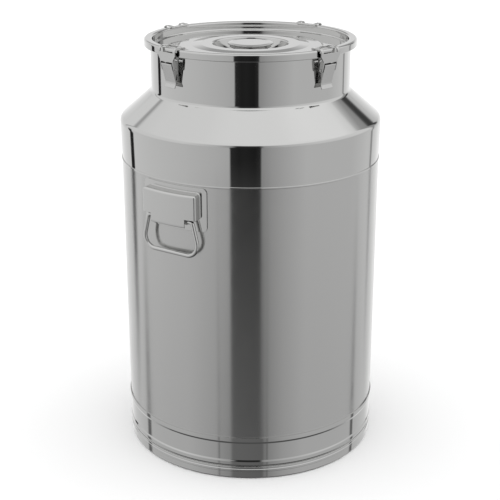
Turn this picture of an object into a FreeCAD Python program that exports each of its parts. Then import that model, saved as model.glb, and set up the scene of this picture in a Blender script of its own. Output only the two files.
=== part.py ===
import FreeCAD, Part
import math
import os

import Sketcher

# A 60 litre stainless steel milk can: a welded drum with a drawn shoulder and bottom, a pressed
# lid on a silicone seal, four over-centre latches and two folding carrying handles.
# Frame: origin on the can's axis at floor level, +Z up, millimetres. Angles round the can are
# counted from +X, so -90 is the front.

SHEET_CELLS = (
    # can shell
    ("wall", 1.2, "thickness of the can's sheet"),
    ("drum_r", 190.0, "outer radius of the drum"),
    ("lower_seam_z", 62.0, "lower edge of the drum"),
    ("upper_seam_z", 443.0, "upper edge of the drum"),
    ("seam_bead_r", 191.0, "outer radius of the upper seam's bead"),
    ("seam_bead_low_z", 441.7, "underside of the upper seam's bead"),
    ("seam_bead_top_z", 444.6, "top of the upper seam's bead"),
    ("knuckle_r", 191.2, "outer radius where the shoulder starts"),
    ("knuckle_z", 502.0, "height where the shoulder starts"),
    ("knuckle_bend", 9.0, "bend radius at the foot of the shoulder"),
    ("neck_r", 144.7, "outer radius of the neck"),
    ("neck_foot_z", 542.3, "height where the shoulder meets the neck"),
    ("neck_bend", 7.0, "bend radius at the foot of the neck"),
    ("lip_r", 151.6, "outer radius of the neck's hemmed lip"),
    ("lip_top_z", 608.6, "top of the neck's lip"),
    ("lip_gap", 0.8, "gap inside the lip's hem"),
    ("lip_hem", 2.9, "width of the turned-under part of the lip"),
    ("seam_bead_round", 0.8, "bend radius of the upper seam's bead"),
    # bottom and foot
    ("lap_top_z", 66.9, "top edge of the bottom's lap over the drum"),
    ("lap_low_z", 60.6, "where the lap starts to step in"),
    ("lap_foot_z", 57.6, "where the lap has stepped in to the drum's radius"),
    ("bead_r", 191.0, "outer radius of the stiffening bead"),
    ("bead_top_z", 30.5, "top of the stiffening bead"),
    ("bead_low_z", 21.0, "underside of the stiffening bead"),
    ("bead_slope", 2.2, "height of each flank of the stiffening bead"),
    ("foot_r", 189.8, "outer radius of the foot ring"),
    ("foot_wall", 2.0, "thickness of the foot ring"),
    ("foot_top_z", 19.0, "top of the foot ring"),
    ("foot_flange_r", 176.0, "inner radius of the foot ring's flange"),
    ("foot_rib_z", 13.4, "middle of the foot ring's rib"),
    ("foot_rib_high", 3.2, "height of the foot ring's rib"),
    ("foot_rib_out", 0.6, "how far the foot ring's rib stands out"),
    ("floor_z", 12.0, "underside of the can's floor at its edge"),
    ("floor_rise", 5.0, "how much higher the middle of the floor is"),
    ("floor_edge_r", 150.0, "radius where the floor starts to rise"),
    ("floor_step", 8.0, "width of the slope in the floor"),
    ("floor_bend", 4.0, "bend radius of the slope in the floor"),
    ("floor_corner", 5.0, "bend radius at the floor's edge"),
    ("foot_lift", 0.5, "gap between the foot ring's top and the bottom's step"),
    ("foot_lift_bend", 0.8, "bend radius of the bottom's step over the foot ring"),
    ("bead_root", 1.4, "bend radius at the root of the stiffening bead and the lap"),
    ("bead_crest", 2.0, "bend radius at the crest of the stiffening bead and the lap"),
    ("foot_corner", 2.5, "bend radius of the foot ring's lower edge"),
    ("foot_inside_bend", 1.2, "bend radius inside the foot ring"),
    ("foot_edge", 0.6, "rounding of the foot ring's top edge"),
    ("foot_rib_bend", 0.5, "bend radius of the foot ring's rib"),
    # lid, seal and knob
    ("lid_wall", 1.0, "thickness of the lid's sheet"),
    ("rim_r", 153.4, "outer radius of the lid's rim"),
    ("rim_low_z", 605.7, "lower edge of the lid's skirt"),
    ("rim_top_z", 616.5, "top of the lid's rim"),
    ("rim_bend", 3.0, "outer bend radius of the rim"),
    ("well_r", 141.4, "radius of the wall inside the lid's rim"),
    ("gutter_z", 604.0, "top of the gutter inside the rim"),
    ("disc_foot_r", 105.0, "radius where the raised disc starts"),
    ("disc_edge_r", 102.0, "radius where the raised disc's slope ends"),
    ("disc_z", 605.7, "height of the disc's outer ring"),
    ("plateau_foot_r", 86.0, "radius where the inner step starts"),
    ("plateau_r", 72.0, "radius where the inner step ends"),
    ("plateau_z", 607.0, "height of the lid's middle"),
    ("dish_r", 54.7, "radius of the dish at its top"),
    ("dish_floor_r", 50.5, "radius of the dish at its floor"),
    ("dish_z", 586.0, "top of the dish's floor"),
    ("dish_floor_bend", 5.0, "bend radius at the dish's floor"),
    ("dish_lip_bend", 1.5, "bend radius at the dish's top"),
    ("step_bend", 3.0, "bend radius at the top of the inner step and at the disc's foot"),
    ("edge_bend", 2.0, "bend radius at the disc's edge and at the inner step's foot"),
    ("gutter_bend", 3.5, "bend radius in the gutter"),
    ("knob_r", 33.0, "radius of the knob's cap"),
    ("knob_top_z", 607.9, "top of the knob"),
    ("knob_skirt_r", 30.4, "outer radius of the knob's skirt"),
    ("knob_skirt_z", 602.0, "lower edge of the knob's skirt"),
    ("knob_wall", 1.6, "thickness of the knob's cap"),
    ("knob_edge", 0.7, "rounding of the knob's edge"),
    ("knob_fall", 0.5, "how far the knob's edge lies under its middle"),
    ("knob_dome", 6.0, "width of the knob's rounded margin"),
    ("knob_dome_bend", 20.0, "bend radius of the knob's margin"),
    ("knob_inside_bend", 1.0, "bend radius inside the knob's cap"),
    ("knob_skirt_edge", 0.4, "rounding of the knob skirt's lower edge"),
    ("post_r", 9.0, "radius of the knob's post"),
    ("post_foot_r", 14.0, "radius of the post's welded foot"),
    ("post_foot_high", 1.6, "height of the post's welded foot"),
    ("seal_in_r", 142.7, "inner radius of the seal"),
    ("seal_out_r", 152.1, "outer radius of the seal"),
    ("seal_low_z", 609.0, "underside of the seal"),
    ("seal_groove", 0.9, "depth of the groove under the seal"),
    ("seal_groove_half", 2.0, "half width of the groove under the seal"),
    ("seal_low_edge", 0.8, "rounding of the seal's lower edges"),
    ("seal_top_edge", 2.2, "rounding of the seal's upper edges"),
    # latches
    ("latch_angle_a", -136.6, "front left latch, angle round the can"),
    ("latch_angle_b", -46.5, "front right latch, angle round the can"),
    ("latch_angle_c", 52.5, "back right latch, angle round the can"),
    ("latch_angle_d", 139.7, "back left latch, angle round the can"),
    ("pivot_r", 152.3, "lever pivot, distance from the can's axis"),
    ("pivot_z", 593.5, "lever pivot, height"),
    ("pivot_pin", 1.2, "radius of the lever's pivot pin"),
    ("pivot_head", 1.6, "radius of the pivot pin's heads"),
    ("running", 0.05, "radial clearance of a hole that turns on a pin"),
    ("hook_drop", 5.0, "hook pivot, below the lever's pivot"),
    ("hook_in", 0.4, "hook pivot, nearer to the can than the lever's pivot"),
    ("rivet_r", 1.0, "radius of the hook's rivets"),
    ("rivet_head", 2.0, "radius of the rivets' heads"),
    ("ear_in", 8.0, "half width inside the bracket's ears"),
    ("ear_out", 9.2, "half width over the bracket's ears"),
    ("lever_in", 9.6, "half width inside the lever"),
    ("lever_out", 10.8, "half width over the lever"),
    ("pin_head_in", 11.1, "half width under the pivot pin's heads"),
    ("pin_head_out", 11.8, "half width over the pivot pin's heads"),
    ("cheek_in", 12.2, "half width inside the hook's cheeks"),
    ("cheek_out", 13.4, "half width over the hook's cheeks"),
    ("rivet_out", 14.3, "half width over the rivets' heads"),
    ("hook_half", 18.0, "half width over the hook's fingers"),
    ("finger_in", 13.5, "half width between the hook's fingers"),
    ("bracket_wall", 1.4, "thickness of the bracket's base"),
    ("bracket_low_z", 572.0, "lower edge of the bracket"),
    ("bracket_top_z", 601.5, "upper edge of the bracket"),
    ("ear_r", 2.2, "radius of the ears round the pivot"),
    ("ear_low", 11.0, "where the ears leave the base, below the pivot"),
    ("ear_slope", 3.6, "end of the ears' lower slope, below the pivot"),
    ("ear_high", 3.2, "where the ears leave the base, above the pivot"),
    ("ear_bend", 2.0, "bend radius where the ears leave the base"),
    ("lever_wall", 1.25, "thickness of the lever's face, level"),
    ("lever_top_r", 158.2, "lever's face at its top"),
    ("lever_top_z", 596.3, "top of the lever"),
    ("lever_tip_r", 150.4, "lever's face where the tongue turns out"),
    ("lever_tip_z", 568.5, "height where the tongue turns out"),
    ("tongue_r", 153.2, "end of the tongue"),
    ("tongue_z", 562.8, "lower end of the tongue"),
    ("lever_bend", 7.0, "bend radius where the tongue turns out"),
    ("lever_side_bend", 3.0, "rounding of the lever's side walls"),
    ("lever_side_in", 3.4, "lever's side walls, nearer to the can than the pivot"),
    ("hook_wall", 1.4, "thickness of the hook"),
    ("hook_face_r", 157.6, "outer face of the hook's plate"),
    ("hook_low_z", 598.6, "lower edge of the hook's plate"),
    ("hook_top_z", 620.0, "top of the hook's fingers, outside"),
    ("hook_end_top_z", 618.4, "top of the hook's crossbar"),
    ("hook_end_r", 138.2, "inner face of the hook's crossbar"),
    ("hook_end_z", 616.1, "underside of the hook's crossbar"),
    ("hook_bend", 7.0, "bend radius of the hook's fingers at the top"),
    ("hook_end_bend", 1.9, "bend radius of the hook's crossbar"),
    ("cheek_low", 2.8, "hook's cheeks below the rivets"),
    ("cheek_side", 3.0, "hook's cheeks beside the rivets"),
    ("cheek_round", 2.6, "rounding of the hook's cheeks at the rivets"),
    ("rivet_play", 0.3, "gap between the hook's cheek and the rivet's head"),
    ("plate_top_z", 611.5, "top of the hook's plate between the fingers"),
    # handles
    ("handle_angle_a", -124.2, "front handle, angle round the can"),
    ("handle_angle_b", 55.8, "back handle, angle round the can"),
    ("plate_wall", 1.5, "thickness of the handle's backing plate"),
    ("plate_sweep", 32.4, "angle that the backing plate covers"),
    ("plate_low_z", 378.0, "lower edge of the backing plate"),
    ("plate_high_z", 440.0, "upper edge of the backing plate"),
    ("plate_corner", 7.0, "corner radius of the backing plate"),
    ("cover_wall", 1.2, "thickness of the handle's cover"),
    ("cover_r", 205.0, "outer radius of the cover"),
    ("cover_low_z", 385.0, "lower edge of the cover"),
    ("cover_top_z", 432.0, "upper edge of the cover's face"),
    ("cover_foot_z", 434.0, "upper edge of the cover at the plate"),
    ("cover_bend", 2.5, "bend radius at the top of the cover's face"),
    ("cover_sweep", 29.6, "angle between the feet of the cover's sides"),
    ("cover_half", 45.4, "half width of the cover's face"),
    ("cover_foot_half", 49.0, "half width of the cover at the plate"),
    ("notch_half", 29.0, "half width between the cover's notches"),
    ("notch_top_z", 397.0, "top of the cover's notches"),
    ("notch_bend", 4.0, "rounding of the cover's notches"),
    ("bail_r", 3.0, "radius of the bail's wire"),
    ("bail_pivot_r", 196.2, "bail's pivot, distance from the can's axis"),
    ("bail_pivot_z", 393.0, "bail's pivot, height"),
    ("bail_stub", 20.0, "half width between the ends of the bail's wire"),
    ("bail_shoulder", 37.5, "half width of the bail at its pivot"),
    ("bail_shoulder_bend", 5.0, "bend radius of the bail at its pivot"),
    ("bail_half", 50.0, "half width of the bail's lower corners"),
    ("bail_low_z", 344.0, "height of the bail's grip"),
    ("bail_bend", 17.0, "bend radius of the bail's lower corners"),
    ("saddle_in", 22.0, "half width between the bail's saddles"),
    ("saddle_out", 29.0, "half width over the bail's saddles"),
    ("saddle_wall", 1.6, "thickness of a saddle round the wire"),
)


class Dim:
    """A size that knows its number and its expression over the sheet's cells."""

    def __init__(self, value, text=None):
        self.value = float(value)
        self.text = text if text else f"{float(value):g}"

    def _with(self, other, sign, value):
        return Dim(value, f"({self.text} {sign} {dim(other).text})")

    def __add__(self, other):
        return self._with(other, "+", self.value + dim(other).value)

    def __sub__(self, other):
        return self._with(other, "-", self.value - dim(other).value)

    def __mul__(self, other):
        return self._with(other, "*", self.value * dim(other).value)

    def __neg__(self):
        return Dim(-self.value, f"(0 - {self.text})")


def dim(value):
    """A plain number as a Dim."""
    return value if isinstance(value, Dim) else Dim(value)


class Sizes:
    """The cells of the sheet, read as attributes."""

    def __init__(self, doc):
        sheet = doc.addObject("Spreadsheet::Sheet", "sizes")
        for row, (alias, value, note) in enumerate(SHEET_CELLS, start=1):
            sheet.set(f"A{row}", note)
            sheet.set(f"B{row}", f"{value:g}")
            sheet.setAlias(f"B{row}", alias)
            setattr(self, alias, Dim(value, f"sizes.{alias}"))


doc = FreeCAD.newDocument("milk_can")
size = Sizes(doc)
doc.recompute()
nodes = []


# ---------------------------------------------------------------- sketches

def new_body(label):
    """A PartDesign body that becomes the node of this name."""
    body = doc.addObject("PartDesign::Body", label)
    body.Label = label
    nodes.append(body)
    return body


def sketch_on(body, role, lift=None):
    """An empty sketch on one of the body's own origin planes, lifted off it if asked."""
    sketch = body.newObject("Sketcher::SketchObject", f"{body.Name}_sketch")
    plane = next(f for f in body.Origin.OriginFeatures if f.Role == role)
    sketch.AttachmentSupport = [(plane, "")]
    sketch.MapMode = "FlatFace"
    if lift:
        sketch.AttachmentOffset = FreeCAD.Placement(
            FreeCAD.Vector(0, 0, lift.value), FreeCAD.Rotation()
        )
        sketch.setExpression("AttachmentOffset.Base.z", lift.text)
    return sketch


def constrain(sketch, kind, *where, size_of=None):
    """One constraint, bound to the sheet when it has a size."""
    if size_of is None:
        return sketch.addConstraint(Sketcher.Constraint(kind, *where))
    index = sketch.addConstraint(Sketcher.Constraint(kind, *where, size_of.value))
    sketch.setExpression(f"Constraints[{index}]", size_of.text)
    return index


def fix_point(sketch, geometry, end, across, up):
    """Hold one point of a sketch at its distances from the origin."""
    for kind, axis, place in (("DistanceX", -2, dim(across)), ("DistanceY", -1, dim(up))):
        if place.value == 0:
            constrain(sketch, "PointOnObject", geometry, end, axis)
        else:
            constrain(sketch, kind, -1, 1, geometry, end, size_of=place)


class Corner:
    """A corner of an outline, with its bend radius."""

    def __init__(self, across, up, bend=0):
        self.across = dim(across)
        self.up = dim(up)
        self.bend = dim(bend)

    @property
    def place(self):
        return FreeCAD.Vector(self.across.value, self.up.value, 0)


def bend_points(before, corner, after, radius):
    """Where a bend leaves and rejoins its two lines, and the bend's centre."""
    back = (before - corner).normalize()
    on = (after - corner).normalize()
    half = back.getAngle(on) / 2
    reach = radius / math.tan(half)
    middle = (back + on).normalize()
    centre = corner + middle * (radius / math.sin(half))
    return corner + back * reach, corner + on * reach, centre


def arc_between(first, last, centre, radius):
    """The arc from first to last round the centre, and which of its ends is first."""
    turn = (first - centre).cross(last - centre).z
    begin, end = (first, last) if turn > 0 else (last, first)
    angles = [math.atan2(p.y - centre.y, p.x - centre.x) for p in (begin, end)]
    if angles[1] < angles[0]:
        angles[1] += 2 * math.pi
    circle = Part.Circle(centre, FreeCAD.Vector(0, 0, 1), radius)
    return Part.ArcOfCircle(circle, *angles), (1 if turn > 0 else 2)


def draw_lines(sketch, places, bends, closed):
    """Lines through the places with tangent arcs at the bends. Returns lines and arcs."""
    count = len(places)
    starts = list(places)
    ends = [places[(i + 1) % count] for i in range(count)]
    arcs = {}
    for i, radius in enumerate(bends):
        if radius <= 0 or (not closed and i in (0, count - 1)):
            continue
        before, after = places[i - 1], places[(i + 1) % count]
        leave, rejoin, centre = bend_points(before, places[i], after, radius)
        ends[i - 1] = leave
        starts[i] = rejoin
        arcs[i] = (leave, rejoin, centre, radius)
    spans = count if closed else count - 1
    lines = [sketch.addGeometry(Part.LineSegment(starts[i], ends[i])) for i in range(spans)]
    drawn = {}
    for i, (leave, rejoin, centre, radius) in arcs.items():
        arc, first = arc_between(leave, rejoin, centre, radius)
        drawn[i] = (sketch.addGeometry(arc), first)
    return lines, drawn


def join_corner(sketch, before, after, arc):
    """Join two lines at a corner, through the bend's arc where it has one."""
    if arc is None:
        constrain(sketch, "Coincident", before, 2, after, 1)
        return
    index, first = arc
    constrain(sketch, "Tangent", before, 2, index, first)
    constrain(sketch, "Tangent", index, 3 - first, after, 1)


def outline(sketch, corners):
    """A closed outline through these corners, fully constrained to the sheet."""
    places = [c.place for c in corners]
    bends = [c.bend.value for c in corners]
    lines, arcs = draw_lines(sketch, places, bends, closed=True)
    for i, corner in enumerate(corners):
        before, after = lines[i - 1], lines[i]
        join_corner(sketch, before, after, arcs.get(i))
        place_corner(sketch, corner, before, after, arcs.get(i))


def place_corner(sketch, corner, before, after, arc):
    """Hold a corner where the sheet says, by a construction point where it is bent."""
    if arc is None:
        fix_point(sketch, after, 1, corner.across, corner.up)
        return
    point = sketch.addGeometry(Part.Point(corner.place), True)
    fix_point(sketch, point, 1, corner.across, corner.up)
    constrain(sketch, "PointOnObject", point, 1, before)
    constrain(sketch, "PointOnObject", point, 1, after)
    constrain(sketch, "Radius", arc[0], size_of=corner.bend)


def offset_places(places, thickness):
    """The corners of the same chain moved sideways by the thickness, to its left."""
    normals = []
    for a, b in zip(places, places[1:]):
        along = (b - a).normalize()
        normals.append(FreeCAD.Vector(-along.y, along.x, 0))
    moved = [places[0] + normals[0] * thickness]
    for i in range(1, len(places) - 1):
        n, m = normals[i - 1], normals[i]
        moved.append(places[i] + (n + m) * (thickness / (1 + n.dot(m))))
    moved.append(places[-1] + normals[-1] * thickness)
    return moved


def sheet_outline(sketch, corners, thickness):
    """The section of a bent sheet: a chain of corners and its parallel, to its left."""
    places = [c.place for c in corners]
    inner_places = offset_places(places, thickness.value)
    last = len(corners) - 1
    turns = [0.0] * len(corners)
    for i in range(1, last):
        a, b = places[i] - places[i - 1], places[i + 1] - places[i]
        turns[i] = a.cross(b).z
    inner_bends = []
    for i, corner in enumerate(corners):
        if corner.bend.value == 0:
            inner_bends.append(Dim(0))
        elif turns[i] > 0:
            inner_bends.append(corner.bend - thickness)
        else:
            inner_bends.append(corner.bend + thickness)
    outer, outer_arcs = draw_lines(sketch, places, [c.bend.value for c in corners], False)
    inner, inner_arcs = draw_lines(sketch, inner_places, [b.value for b in inner_bends], False)
    caps = [
        sketch.addGeometry(Part.LineSegment(places[i], inner_places[i])) for i in (0, last)
    ]
    for i in range(1, last):
        join_corner(sketch, outer[i - 1], outer[i], outer_arcs.get(i))
        place_corner(sketch, corners[i], outer[i - 1], outer[i], outer_arcs.get(i))
        join_corner(sketch, inner[i - 1], inner[i], inner_arcs.get(i))
        if i in inner_arcs:
            constrain(sketch, "Radius", inner_arcs[i][0], size_of=inner_bends[i])
    for line, parallel in zip(outer, inner):
        constrain(sketch, "Parallel", line, parallel)
        constrain(sketch, "Distance", line, 1, parallel, size_of=thickness)
    fix_point(sketch, outer[0], 1, corners[0].across, corners[0].up)
    fix_point(sketch, outer[-1], 2, corners[-1].across, corners[-1].up)
    for cap, line, parallel, end in ((caps[0], outer[0], inner[0], 1), (caps[1], outer[-1], inner[-1], 2)):
        constrain(sketch, "Coincident", cap, 1, line, end)
        constrain(sketch, "Coincident", cap, 2, parallel, end)
        constrain(sketch, "Perpendicular", cap, line)


def circle(sketch, across, up, radius):
    """A circle held at its centre."""
    place = FreeCAD.Vector(dim(across).value, dim(up).value, 0)
    index = sketch.addGeometry(Part.Circle(place, FreeCAD.Vector(0, 0, 1), radius.value))
    fix_point(sketch, index, 3, across, up)
    constrain(sketch, "Radius", index, size_of=radius)


# ---------------------------------------------------------------- features

def revolve(body, sketch, angle=None):
    """Turn a sketch about the can's axis: all round, or through an angle centred on +X."""
    feature = body.newObject("PartDesign::Revolution", f"{body.Name}_revolution")
    feature.Profile = sketch
    feature.ReferenceAxis = (sketch, ["V_Axis"])
    if angle is None:
        feature.Angle = 360
    else:
        feature.Midplane = True
        feature.Angle = angle.value
        feature.setExpression("Angle", angle.text)
    sketch.Visibility = False
    return feature


def pad(body, sketch, width):
    """Thicken a sketch by a width, half to each side of its plane."""
    feature = body.newObject("PartDesign::Pad", f"{body.Name}_pad")
    feature.Profile = sketch
    feature.SideType = "Symmetric"
    feature.Length = width.value
    feature.setExpression("Length", width.text)
    return feature


def cut(body, sketch, width=None):
    """Cut a sketch's shape out of the body, through it or to a width centred on its plane."""
    doc.recompute()
    before = body.Shape.Volume
    feature = body.newObject("PartDesign::Pocket", f"{body.Name}_pocket")
    feature.Profile = sketch
    feature.SideType = "Symmetric"
    if width is None:
        feature.Type = "ThroughAll"
    else:
        feature.Length = width.value
        feature.setExpression("Length", width.text)
    doc.recompute()
    if body.Shape.Volume >= before:
        raise RuntimeError(f"a pocket of {body.Label} cuts nothing")
    return feature


def side_outline(body, corners):
    """A closed outline in the body's own radial plane: across is the radius, up the height."""
    sketch = sketch_on(body, "XZ_Plane")
    outline(sketch, corners)
    return sketch


def revolved(label, corners, thickness=None):
    """A node turned all round from a closed outline, or from a chain with a thickness."""
    body = new_body(label)
    sketch = sketch_on(body, "XZ_Plane")
    if thickness is None:
        outline(sketch, corners)
    else:
        sheet_outline(sketch, corners, thickness)
    revolve(body, sketch)
    return body


def stand_at(body, angle):
    """Turn a finished body round the can's axis to its place."""
    body.Placement = FreeCAD.Placement(
        FreeCAD.Vector(), FreeCAD.Rotation(FreeCAD.Vector(0, 0, 1), angle.value)
    )
    body.setExpression("Placement.Rotation.Angle", angle.text)


# ---------------------------------------------------------------- can shell

def make_drum():
    """The rolled drum, open at both ends."""
    s = size
    inner_r = s.drum_r - s.wall
    revolved("drum_shell", [
        Corner(inner_r, s.lower_seam_z),
        Corner(s.drum_r, s.lower_seam_z),
        Corner(s.drum_r, s.upper_seam_z),
        Corner(inner_r, s.upper_seam_z),
    ])


def make_shoulder():
    """The drawn top: a band, the sloping shoulder, the neck and its hemmed lip."""
    s = size
    under_lip_z = s.lip_top_z - s.wall
    hem_r = s.lip_r - s.wall
    hem_z = under_lip_z - s.lip_gap
    tight = s.lip_gap * 0.49
    body = revolved("shoulder_and_neck", [
        Corner(s.drum_r, s.upper_seam_z),
        Corner(s.knuckle_r, s.knuckle_z, s.knuckle_bend),
        Corner(s.neck_r, s.neck_foot_z, s.neck_bend),
        Corner(s.neck_r, under_lip_z, tight),
        Corner(hem_r, under_lip_z, tight),
        Corner(hem_r, hem_z, tight),
        Corner(hem_r - s.lip_hem, hem_z),
    ], s.wall)
    bead = side_outline(body, [
        Corner(s.drum_r, s.seam_bead_low_z),
        Corner(s.seam_bead_r, s.seam_bead_low_z, s.seam_bead_round),
        Corner(s.seam_bead_r, s.seam_bead_top_z, s.seam_bead_round),
        Corner(s.drum_r, s.seam_bead_top_z),
    ])
    revolve(body, bead)


def make_bottom():
    """The drawn bottom: a lap over the drum, a stiffening bead and the raised floor."""
    s = size
    lap_r = s.drum_r + s.wall
    inset_r = s.foot_r - s.foot_wall
    revolved("bottom_shell", [
        Corner(0, s.floor_z + s.floor_rise),
        Corner(s.floor_edge_r - s.floor_step, s.floor_z + s.floor_rise, s.floor_bend),
        Corner(s.floor_edge_r, s.floor_z, s.floor_bend),
        Corner(inset_r, s.floor_z, s.floor_corner),
        Corner(inset_r, s.foot_top_z + s.foot_lift, s.foot_lift_bend),
        Corner(s.drum_r, s.bead_low_z, s.bead_root),
        Corner(s.bead_r, s.bead_low_z + s.bead_slope, s.bead_crest),
        Corner(s.bead_r, s.bead_top_z - s.bead_slope, s.bead_crest),
        Corner(s.drum_r, s.bead_top_z, s.bead_root),
        Corner(s.drum_r, s.lap_foot_z, s.bead_root),
        Corner(lap_r, s.lap_low_z, s.bead_crest),
        Corner(lap_r, s.lap_top_z),
    ], s.wall)


def make_foot():
    """The foot ring: an angle-section hoop with a rolled rib."""
    s = size
    inner_r = s.foot_r - s.foot_wall
    rib_r = s.foot_r + s.foot_rib_out
    rib_low = s.foot_rib_z - s.foot_rib_high * 0.5
    rib_top = s.foot_rib_z + s.foot_rib_high * 0.5
    revolved("foot_ring", [
        Corner(s.foot_flange_r, 0),
        Corner(s.foot_r, 0, s.foot_corner),
        Corner(s.foot_r, rib_low - s.foot_rib_out),
        Corner(rib_r, rib_low, s.foot_rib_bend),
        Corner(rib_r, rib_top, s.foot_rib_bend),
        Corner(s.foot_r, rib_top + s.foot_rib_out),
        Corner(s.foot_r, s.foot_top_z, s.foot_edge),
        Corner(inner_r, s.foot_top_z),
        Corner(inner_r, s.foot_wall, s.foot_inside_bend),
        Corner(s.foot_flange_r, s.foot_wall),
    ])


# ---------------------------------------------------------------- lid

def make_lid():
    """The pressed lid: rim channel, gutter, stepped disc and the finger dish."""
    s = size
    revolved("lid_pan", [
        Corner(0, s.dish_z - s.lid_wall),
        Corner(s.dish_floor_r + s.lid_wall, s.dish_z - s.lid_wall, s.dish_floor_bend),
        Corner(s.dish_r + s.lid_wall, s.plateau_z - s.lid_wall, s.dish_lip_bend),
        Corner(s.plateau_r, s.plateau_z - s.lid_wall, s.step_bend),
        Corner(s.plateau_foot_r, s.disc_z - s.lid_wall, s.edge_bend),
        Corner(s.disc_edge_r, s.disc_z - s.lid_wall, s.edge_bend),
        Corner(s.disc_foot_r, s.gutter_z - s.lid_wall, s.step_bend),
        Corner(s.well_r + s.lid_wall, s.gutter_z - s.lid_wall, s.gutter_bend),
        Corner(s.well_r + s.lid_wall, s.rim_top_z - s.lid_wall, s.rim_bend - s.lid_wall),
        Corner(s.rim_r - s.lid_wall, s.rim_top_z - s.lid_wall, s.rim_bend - s.lid_wall),
        Corner(s.rim_r - s.lid_wall, s.rim_low_z),
    ], s.lid_wall)


def make_seal():
    """The silicone seal in the rim's channel, with a groove that sits over the lip."""
    s = size
    top_z = s.rim_top_z - s.lid_wall
    middle = (s.seal_in_r + s.seal_out_r) * 0.5
    revolved("lid_seal", [
        Corner(s.seal_in_r, s.seal_low_z, s.seal_low_edge),
        Corner(middle - s.seal_groove_half, s.seal_low_z),
        Corner(middle, s.seal_low_z + s.seal_groove),
        Corner(middle + s.seal_groove_half, s.seal_low_z),
        Corner(s.seal_out_r, s.seal_low_z, s.seal_low_edge),
        Corner(s.seal_out_r, top_z, s.seal_top_edge),
        Corner(s.seal_in_r, top_z, s.seal_top_edge),
    ])


def make_knob():
    """The round knob in the lid's dish and the post that carries it."""
    s = size
    under_z = s.knob_top_z - s.knob_wall
    skirt_in_r = s.knob_skirt_r - s.knob_wall
    revolved("knob_cap", [
        Corner(0, under_z),
        Corner(skirt_in_r, under_z, s.knob_inside_bend),
        Corner(skirt_in_r, s.knob_skirt_z),
        Corner(s.knob_skirt_r, s.knob_skirt_z, s.knob_skirt_edge),
        Corner(s.knob_skirt_r, under_z - s.knob_fall * 1.8, s.knob_edge),
        Corner(s.knob_r, under_z - s.knob_fall * 1.2, s.knob_edge),
        Corner(s.knob_r, s.knob_top_z - s.knob_fall, s.knob_edge),
        Corner(s.knob_r - s.knob_dome, s.knob_top_z, s.knob_dome_bend),
        Corner(0, s.knob_top_z),
    ])
    revolved("knob_post", [
        Corner(0, s.dish_z),
        Corner(s.post_foot_r, s.dish_z),
        Corner(s.post_foot_r, s.dish_z + s.post_foot_high, 1.0),
        Corner(s.post_r, s.dish_z + s.post_foot_high, 1.5),
        Corner(s.post_r, under_z),
        Corner(0, under_z),
    ])


# ---------------------------------------------------------------- latches

def make_bracket(name, angle):
    """The latch's bracket, welded to the neck: a base with two ears for the pivot."""
    s = size
    face_r = s.neck_r + s.bracket_wall
    inside_r = s.neck_r - 1.5
    body = new_body(f"{name}_bracket")
    profile = side_outline(body, [
        Corner(inside_r, s.bracket_low_z),
        Corner(face_r, s.bracket_low_z),
        Corner(face_r, s.pivot_z - s.ear_low, s.ear_bend),
        Corner(s.pivot_r + s.ear_r, s.pivot_z - s.ear_slope, s.ear_r),
        Corner(s.pivot_r + s.ear_r, s.pivot_z + s.ear_r, s.ear_r * 0.98),
        Corner(face_r, s.pivot_z + s.ear_high, s.ear_bend),
        Corner(face_r, s.bracket_top_z),
        Corner(inside_r, s.bracket_top_z),
    ])
    pad(body, profile, s.ear_out * 2)
    between = side_outline(body, [
        Corner(face_r, s.bracket_low_z - 2),
        Corner(s.pivot_r + 12, s.bracket_low_z - 2),
        Corner(s.pivot_r + 12, s.bracket_top_z + 2),
        Corner(face_r, s.bracket_top_z + 2),
    ])
    cut(body, between, s.ear_in * 2)
    bore = sketch_on(body, "XZ_Plane")
    circle(bore, s.pivot_r, s.pivot_z, s.pivot_pin)
    cut(body, bore)
    neck = sketch_on(body, "XY_Plane")
    circle(neck, 0, 0, s.neck_r)
    cut(body, neck)
    stand_at(body, angle)


def make_pivot_pin(name, angle):
    """The lever's pivot pin, headed at both ends, fixed in the bracket's ears."""
    s = size
    body = new_body(f"{name}_pivot_pin")
    heads = sketch_on(body, "XZ_Plane")
    circle(heads, s.pivot_r, s.pivot_z, s.pivot_head)
    pad(body, heads, s.pin_head_out * 2)
    waist = sketch_on(body, "XZ_Plane")
    circle(waist, s.pivot_r, s.pivot_z, s.pivot_head + 1)
    circle(waist, s.pivot_r, s.pivot_z, s.pivot_pin)
    cut(body, waist, s.pin_head_in * 2)
    stand_at(body, angle)


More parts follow.
